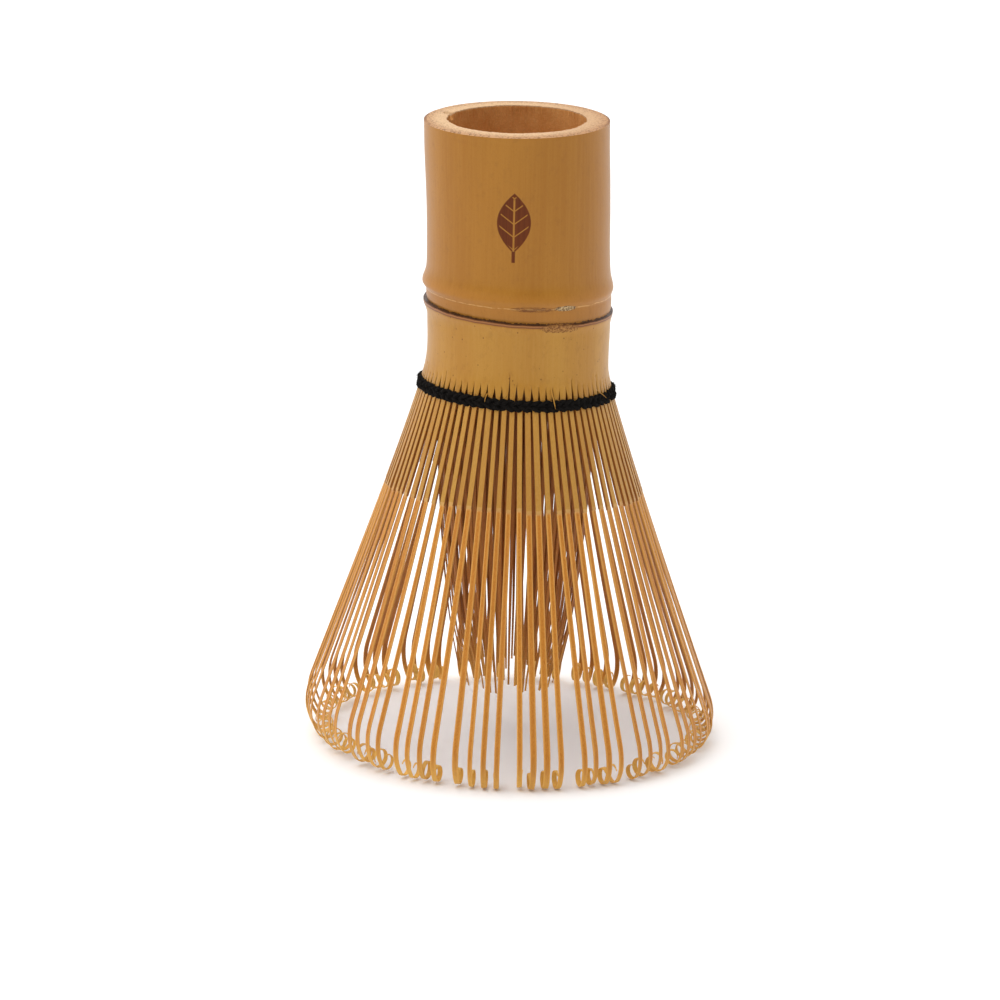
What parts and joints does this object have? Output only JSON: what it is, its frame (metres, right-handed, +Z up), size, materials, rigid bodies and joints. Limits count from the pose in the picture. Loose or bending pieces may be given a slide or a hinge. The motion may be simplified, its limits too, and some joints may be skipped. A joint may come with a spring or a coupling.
{
  "type": "bamboo tea whisk",
  "caption": "Whisk split from one bamboo culm: a hollow handle above a thread weave, flared outer tines curled at the tips and an inner bundle of tines.",
  "frame": {"origin": "on the resting plane under the curled tips of the tines, on the handle's axis", "axes": "+Z up along the handle's axis, from the tips to the cut end; -Y is the front, where the burnt leaf is; +X is to the right of the front"},
  "size_m": [0.0676, 0.0676, 0.1035],
  "materials": {
    "culm_bamboo": "satin",
    "outer_tine_bamboo": "satin",
    "inner_tine_bamboo": "satin",
    "cotton_thread": "matte"
  },
  "bodies": {
    "handle": {"culm_handle": "culm_bamboo", "upper_weave_thread": "cotton_thread", "lower_weave_thread": "cotton_thread"},
    "outer_section_01": {"outer_tines_01": "outer_tine_bamboo"},
    "outer_section_02": {"outer_tines_02": "outer_tine_bamboo"},
    "outer_section_03": {"outer_tines_03": "outer_tine_bamboo"},
    "outer_section_04": {"outer_tines_04": "outer_tine_bamboo"},
    "outer_section_05": {"outer_tines_05": "outer_tine_bamboo"},
    "outer_section_06": {"outer_tines_06": "outer_tine_bamboo"},
    "outer_section_07": {"outer_tines_07": "outer_tine_bamboo"},
    "outer_section_08": {"outer_tines_08": "outer_tine_bamboo"},
    "outer_section_09": {"outer_tines_09": "outer_tine_bamboo"},
    "outer_section_10": {"outer_tines_10": "outer_tine_bamboo"},
    "outer_section_11": {"outer_tines_11": "outer_tine_bamboo"},
    "outer_section_12": {"outer_tines_12": "outer_tine_bamboo"},
    "outer_section_13": {"outer_tines_13": "outer_tine_bamboo"},
    "outer_section_14": {"outer_tines_14": "outer_tine_bamboo"},
    "outer_section_15": {"outer_tines_15": "outer_tine_bamboo"},
    "outer_section_16": {"outer_tines_16": "outer_tine_bamboo"},
    "outer_section_17": {"outer_tines_17": "outer_tine_bamboo"},
    "outer_section_18": {"outer_tines_18": "outer_tine_bamboo"},
    "outer_section_19": {"outer_tines_19": "outer_tine_bamboo"},
    "outer_section_20": {"outer_tines_20": "outer_tine_bamboo"},
    "inner_section_01": {"inner_tines_01": "inner_tine_bamboo"},
    "inner_section_02": {"inner_tines_02": "inner_tine_bamboo"},
    "inner_section_03": {"inner_tines_03": "inner_tine_bamboo"},
    "inner_section_04": {"inner_tines_04": "inner_tine_bamboo"},
    "inner_section_05": {"inner_tines_05": "inner_tine_bamboo"},
    "inner_section_06": {"inner_tines_06": "inner_tine_bamboo"},
    "inner_section_07": {"inner_tines_07": "inner_tine_bamboo"},
    "inner_section_08": {"inner_tines_08": "inner_tine_bamboo"},
    "inner_section_09": {"inner_tines_09": "inner_tine_bamboo"},
    "inner_section_10": {"inner_tines_10": "inner_tine_bamboo"},
    "inner_section_11": {"inner_tines_11": "inner_tine_bamboo"},
    "inner_section_12": {"inner_tines_12": "inner_tine_bamboo"},
    "inner_section_13": {"inner_tines_13": "inner_tine_bamboo"},
    "inner_section_14": {"inner_tines_14": "inner_tine_bamboo"},
    "inner_section_15": {"inner_tines_15": "inner_tine_bamboo"},
    "inner_section_16": {"inner_tines_16": "inner_tine_bamboo"},
    "inner_section_17": {"inner_tines_17": "inner_tine_bamboo"},
    "inner_section_18": {"inner_tines_18": "inner_tine_bamboo"},
    "inner_section_19": {"inner_tines_19": "inner_tine_bamboo"},
    "inner_section_20": {"inner_tines_20": "inner_tine_bamboo"}
  },
  "joints": [
    {"name": "outer_flex_01", "type": "hinge", "parent": "handle", "child": "outer_section_01", "pos_m": [0.00231, -0.01462, 0.05996], "axis": [-0.9877, -0.1564, 0], "range_deg": [-7, 5], "stiffness_Nm_per_rad": 0.015},
    {"name": "outer_flex_02", "type": "hinge", "parent": "handle", "child": "outer_section_02", "pos_m": [0.00672, -0.01319, 0.05971], "axis": [-0.891, -0.454, 0], "range_deg": [-7, 5], "stiffness_Nm_per_rad": 0.015},
    {"name": "outer_flex_03", "type": "hinge", "parent": "handle", "child": "outer_section_03", "pos_m": [0.01047, -0.01047, 0.05941], "axis": [-0.7071, -0.7071, 0], "range_deg": [-7, 5], "stiffness_Nm_per_rad": 0.015},
    {"name": "outer_flex_04", "type": "hinge", "parent": "handle", "child": "outer_section_04", "pos_m": [0.01319, -0.00672, 0.05909], "axis": [-0.454, -0.891, 0], "range_deg": [-7, 5], "stiffness_Nm_per_rad": 0.015},
    {"name": "outer_flex_05", "type": "hinge", "parent": "handle", "child": "outer_section_05", "pos_m": [0.01462, -0.00231, 0.05878], "axis": [-0.1564, -0.9877, 0], "range_deg": [-7, 5], "stiffness_Nm_per_rad": 0.015},
    {"name": "outer_flex_06", "type": "hinge", "parent": "handle", "child": "outer_section_06", "pos_m": [0.01462, 0.00231, 0.05851], "axis": [0.1564, -0.9877, 0], "range_deg": [-7, 5], "stiffness_Nm_per_rad": 0.015},
    {"name": "outer_flex_07", "type": "hinge", "parent": "handle", "child": "outer_section_07", "pos_m": [0.01319, 0.00672, 0.05831], "axis": [0.454, -0.891, 0], "range_deg": [-7, 5], "stiffness_Nm_per_rad": 0.015},
    {"name": "outer_flex_08", "type": "hinge", "parent": "handle", "child": "outer_section_08", "pos_m": [0.01047, 0.01047, 0.05819], "axis": [0.7071, -0.7071, 0], "range_deg": [-7, 5], "stiffness_Nm_per_rad": 0.015},
    {"name": "outer_flex_09", "type": "hinge", "parent": "handle", "child": "outer_section_09", "pos_m": [0.00672, 0.01319, 0.05818], "axis": [0.891, -0.454, 0], "range_deg": [-7, 5], "stiffness_Nm_per_rad": 0.015},
    {"name": "outer_flex_10", "type": "hinge", "parent": "handle", "child": "outer_section_10", "pos_m": [0.00231, 0.01462, 0.05826], "axis": [0.9877, -0.1564, 0], "range_deg": [-7, 5], "stiffness_Nm_per_rad": 0.015},
    {"name": "outer_flex_11", "type": "hinge", "parent": "handle", "child": "outer_section_11", "pos_m": [-0.00231, 0.01462, 0.05844], "axis": [0.9877, 0.1564, 0], "range_deg": [-7, 5], "stiffness_Nm_per_rad": 0.015},
    {"name": "outer_flex_12", "type": "hinge", "parent": "handle", "child": "outer_section_12", "pos_m": [-0.00672, 0.01319, 0.05869], "axis": [0.891, 0.454, 0], "range_deg": [-7, 5], "stiffness_Nm_per_rad": 0.015},
    {"name": "outer_flex_13", "type": "hinge", "parent": "handle", "child": "outer_section_13", "pos_m": [-0.01047, 0.01047, 0.05899], "axis": [0.7071, 0.7071, 0], "range_deg": [-7, 5], "stiffness_Nm_per_rad": 0.015},
    {"name": "outer_flex_14", "type": "hinge", "parent": "handle", "child": "outer_section_14", "pos_m": [-0.01319, 0.00672, 0.05931], "axis": [0.454, 0.891, 0], "range_deg": [-7, 5], "stiffness_Nm_per_rad": 0.015},
    {"name": "outer_flex_15", "type": "hinge", "parent": "handle", "child": "outer_section_15", "pos_m": [-0.01462, 0.00231, 0.05962], "axis": [0.1564, 0.9877, 0], "range_deg": [-7, 5], "stiffness_Nm_per_rad": 0.015},
    {"name": "outer_flex_16", "type": "hinge", "parent": "handle", "child": "outer_section_16", "pos_m": [-0.01462, -0.00231, 0.05989], "axis": [-0.1564, 0.9877, 0], "range_deg": [-7, 5], "stiffness_Nm_per_rad": 0.015},
    {"name": "outer_flex_17", "type": "hinge", "parent": "handle", "child": "outer_section_17", "pos_m": [-0.01319, -0.00672, 0.06009], "axis": [-0.454, 0.891, 0], "range_deg": [-7, 5], "stiffness_Nm_per_rad": 0.015},
    {"name": "outer_flex_18", "type": "hinge", "parent": "handle", "child": "outer_section_18", "pos_m": [-0.01047, -0.01047, 0.06021], "axis": [-0.7071, 0.7071, 0], "range_deg": [-7, 5], "stiffness_Nm_per_rad": 0.015},
    {"name": "outer_flex_19", "type": "hinge", "parent": "handle", "child": "outer_section_19", "pos_m": [-0.00672, -0.01319, 0.06022], "axis": [-0.891, 0.454, 0], "range_deg": [-7, 5], "stiffness_Nm_per_rad": 0.015},
    {"name": "outer_flex_20", "type": "hinge", "parent": "handle", "child": "outer_section_20", "pos_m": [-0.00231, -0.01462, 0.06014], "axis": [-0.9877, 0.1564, 0], "range_deg": [-7, 5], "stiffness_Nm_per_rad": 0.015},
    {"name": "inner_flex_01", "type": "hinge", "parent": "handle", "child": "inner_section_01", "pos_m": [0.00199, -0.01254, 0.05985], "axis": [-0.9877, -0.1564, 0], "range_deg": [-0.5, 6], "stiffness_Nm_per_rad": 0.006},
    {"name": "inner_flex_02", "type": "hinge", "parent": "handle", "child": "inner_section_02", "pos_m": [0.00577, -0.01132, 0.05964], "axis": [-0.891, -0.454, 0], "range_deg": [-0.5, 6], "stiffness_Nm_per_rad": 0.006},
    {"name": "inner_flex_03", "type": "hinge", "parent": "handle", "child": "inner_section_03", "pos_m": [0.00898, -0.00898, 0.05938], "axis": [-0.7071, -0.7071, 0], "range_deg": [-0.5, 6], "stiffness_Nm_per_rad": 0.006},
    {"name": "inner_flex_04", "type": "hinge", "parent": "handle", "child": "inner_section_04", "pos_m": [0.01132, -0.00577, 0.0591], "axis": [-0.454, -0.891, 0], "range_deg": [-0.5, 6], "stiffness_Nm_per_rad": 0.006},
    {"name": "inner_flex_05", "type": "hinge", "parent": "handle", "child": "inner_section_05", "pos_m": [0.01254, -0.00199, 0.05884], "axis": [-0.1564, -0.9877, 0], "range_deg": [-0.5, 6], "stiffness_Nm_per_rad": 0.006},
    {"name": "inner_flex_06", "type": "hinge", "parent": "handle", "child": "inner_section_06", "pos_m": [0.01254, 0.00199, 0.05861], "axis": [0.1564, -0.9877, 0], "range_deg": [-0.5, 6], "stiffness_Nm_per_rad": 0.006},
    {"name": "inner_flex_07", "type": "hinge", "parent": "handle", "child": "inner_section_07", "pos_m": [0.01132, 0.00577, 0.05844], "axis": [0.454, -0.891, 0], "range_deg": [-0.5, 6], "stiffness_Nm_per_rad": 0.006},
    {"name": "inner_flex_08", "type": "hinge", "parent": "handle", "child": "inner_section_08", "pos_m": [0.00898, 0.00898, 0.05834], "axis": [0.7071, -0.7071, 0], "range_deg": [-0.5, 6], "stiffness_Nm_per_rad": 0.006},
    {"name": "inner_flex_09", "type": "hinge", "parent": "handle", "child": "inner_section_09", "pos_m": [0.00577, 0.01132, 0.05833], "axis": [0.891, -0.454, 0], "range_deg": [-0.5, 6], "stiffness_Nm_per_rad": 0.006},
    {"name": "inner_flex_10", "type": "hinge", "parent": "handle", "child": "inner_section_10", "pos_m": [0.00199, 0.01254, 0.0584], "axis": [0.9877, -0.1564, 0], "range_deg": [-0.5, 6], "stiffness_Nm_per_rad": 0.006},
    {"name": "inner_flex_11", "type": "hinge", "parent": "handle", "child": "inner_section_11", "pos_m": [-0.00199, 0.01254, 0.05855], "axis": [0.9877, 0.1564, 0], "range_deg": [-0.5, 6], "stiffness_Nm_per_rad": 0.006},
    {"name": "inner_flex_12", "type": "hinge", "parent": "handle", "child": "inner_section_12", "pos_m": [-0.00577, 0.01132, 0.05876], "axis": [0.891, 0.454, 0], "range_deg": [-0.5, 6], "stiffness_Nm_per_rad": 0.006},
    {"name": "inner_flex_13", "type": "hinge", "parent": "handle", "child": "inner_section_13", "pos_m": [-0.00898, 0.00898, 0.05902], "axis": [0.7071, 0.7071, 0], "range_deg": [-0.5, 6], "stiffness_Nm_per_rad": 0.006},
    {"name": "inner_flex_14", "type": "hinge", "parent": "handle", "child": "inner_section_14", "pos_m": [-0.01132, 0.00577, 0.0593], "axis": [0.454, 0.891, 0], "range_deg": [-0.5, 6], "stiffness_Nm_per_rad": 0.006},
    {"name": "inner_flex_15", "type": "hinge", "parent": "handle", "child": "inner_section_15", "pos_m": [-0.01254, 0.00199, 0.05956], "axis": [0.1564, 0.9877, 0], "range_deg": [-0.5, 6], "stiffness_Nm_per_rad": 0.006},
    {"name": "inner_flex_16", "type": "hinge", "parent": "handle", "child": "inner_section_16", "pos_m": [-0.01254, -0.00199, 0.05979], "axis": [-0.1564, 0.9877, 0], "range_deg": [-0.5, 6], "stiffness_Nm_per_rad": 0.006},
    {"name": "inner_flex_17", "type": "hinge", "parent": "handle", "child": "inner_section_17", "pos_m": [-0.01132, -0.00577, 0.05996], "axis": [-0.454, 0.891, 0], "range_deg": [-0.5, 6], "stiffness_Nm_per_rad": 0.006},
    {"name": "inner_flex_18", "type": "hinge", "parent": "handle", "child": "inner_section_18", "pos_m": [-0.00898, -0.00898, 0.06006], "axis": [-0.7071, 0.7071, 0], "range_deg": [-0.5, 6], "stiffness_Nm_per_rad": 0.006},
    {"name": "inner_flex_19", "type": "hinge", "parent": "handle", "child": "inner_section_19", "pos_m": [-0.00577, -0.01132, 0.06008], "axis": [-0.891, 0.454, 0], "range_deg": [-0.5, 6], "stiffness_Nm_per_rad": 0.006},
    {"name": "inner_flex_20", "type": "hinge", "parent": "handle", "child": "inner_section_20", "pos_m": [-0.00199, -0.01254, 0.06], "axis": [-0.9877, 0.1564, 0], "range_deg": [-0.5, 6], "stiffness_Nm_per_rad": 0.006}
  ],
  "couplings": [
    {"joint": "outer_flex_02", "follows": "outer_flex_01", "ratio": 1},
    {"joint": "outer_flex_03", "follows": "outer_flex_01", "ratio": 1},
    {"joint": "outer_flex_04", "follows": "outer_flex_01", "ratio": 1},
    {"joint": "outer_flex_05", "follows": "outer_flex_01", "ratio": 1},
    {"joint": "outer_flex_06", "follows": "outer_flex_01", "ratio": 1},
    {"joint": "outer_flex_07", "follows": "outer_flex_01", "ratio": 1},
    {"joint": "outer_flex_08", "follows": "outer_flex_01", "ratio": 1},
    {"joint": "outer_flex_09", "follows": "outer_flex_01", "ratio": 1},
    {"joint": "outer_flex_10", "follows": "outer_flex_01", "ratio": 1},
    {"joint": "outer_flex_11", "follows": "outer_flex_01", "ratio": 1},
    {"joint": "outer_flex_12", "follows": "outer_flex_01", "ratio": 1},
    {"joint": "outer_flex_13", "follows": "outer_flex_01", "ratio": 1},
    {"joint": "outer_flex_14", "follows": "outer_flex_01", "ratio": 1},
    {"joint": "outer_flex_15", "follows": "outer_flex_01", "ratio": 1},
    {"joint": "outer_flex_16", "follows": "outer_flex_01", "ratio": 1},
    {"joint": "outer_flex_17", "follows": "outer_flex_01", "ratio": 1},
    {"joint": "outer_flex_18", "follows": "outer_flex_01", "ratio": 1},
    {"joint": "outer_flex_19", "follows": "outer_flex_01", "ratio": 1},
    {"joint": "outer_flex_20", "follows": "outer_flex_01", "ratio": 1},
    {"joint": "inner_flex_02", "follows": "inner_flex_01", "ratio": 1},
    {"joint": "inner_flex_03", "follows": "inner_flex_01", "ratio": 1},
    {"joint": "inner_flex_04", "follows": "inner_flex_01", "ratio": 1},
    {"joint": "inner_flex_05", "follows": "inner_flex_01", "ratio": 1},
    {"joint": "inner_flex_06", "follows": "inner_flex_01", "ratio": 1},
    {"joint": "inner_flex_07", "follows": "inner_flex_01", "ratio": 1},
    {"joint": "inner_flex_08", "follows": "inner_flex_01", "ratio": 1},
    {"joint": "inner_flex_09", "follows": "inner_flex_01", "ratio": 1},
    {"joint": "inner_flex_10", "follows": "inner_flex_01", "ratio": 1},
    {"joint": "inner_flex_11", "follows": "inner_flex_01", "ratio": 1},
    {"joint": "inner_flex_12", "follows": "inner_flex_01", "ratio": 1},
    {"joint": "inner_flex_13", "follows": "inner_flex_01", "ratio": 1},
    {"joint": "inner_flex_14", "follows": "inner_flex_01", "ratio": 1},
    {"joint": "inner_flex_15", "follows": "inner_flex_01", "ratio": 1},
    {"joint": "inner_flex_16", "follows": "inner_flex_01", "ratio": 1},
    {"joint": "inner_flex_17", "follows": "inner_flex_01", "ratio": 1},
    {"joint": "inner_flex_18", "follows": "inner_flex_01", "ratio": 1},
    {"joint": "inner_flex_19", "follows": "inner_flex_01", "ratio": 1},
    {"joint": "inner_flex_20", "follows": "inner_flex_01", "ratio": 1}
  ]
}
